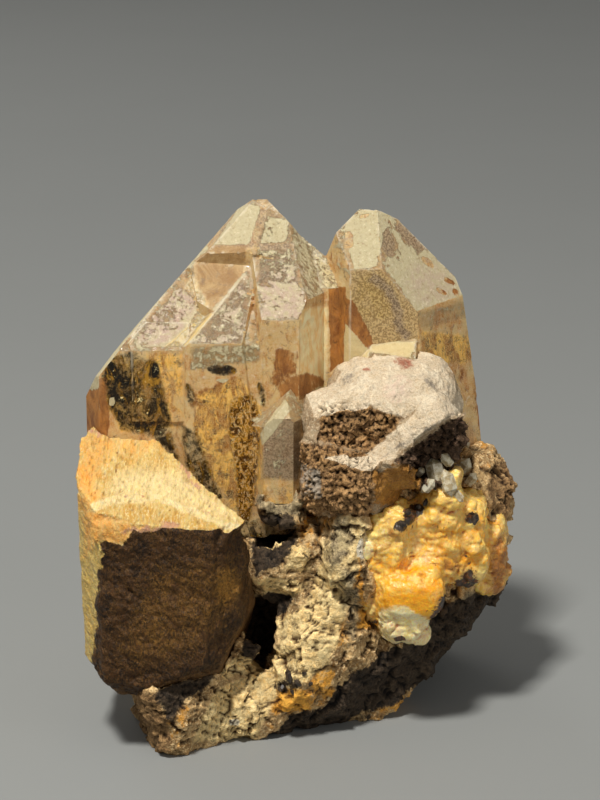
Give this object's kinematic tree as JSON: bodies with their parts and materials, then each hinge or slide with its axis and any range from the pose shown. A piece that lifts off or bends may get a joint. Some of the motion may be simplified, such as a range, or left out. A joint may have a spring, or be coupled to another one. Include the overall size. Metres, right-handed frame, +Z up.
{
  "type": "quartz cluster",
  "caption": "Smoky quartz cluster: broad faceted crystals with smaller ones grown against them, on a rough feldspar and rock matrix that stands on its flat underside.",
  "frame": {"origin": "under the middle of the specimen's bounding box, on the surface it stands on", "axes": "+Z up along the crystals, -Y towards the side shown in the picture, +X to the right seen from that side"},
  "size_m": [0.0912, 0.0676, 0.1088],
  "materials": {
    "quartz": "clear to cloudy smoky crystal with frosted, pale-coated faces",
    "cream_feldspar": "rough, with a bright cleavage top",
    "pale_crust": "dusty and pitted",
    "stained_feldspar": "glossy where stained",
    "matrix": "rough and grainy"
  },
  "bodies": {
    "root": {"quartz_crystals": "quartz", "feldspar_block": "cream_feldspar", "pitted_feldspar": "pale_crust", "stained_feldspar": "stained_feldspar", "matrix_rock": "matrix"}
  },
  "joints": []
}
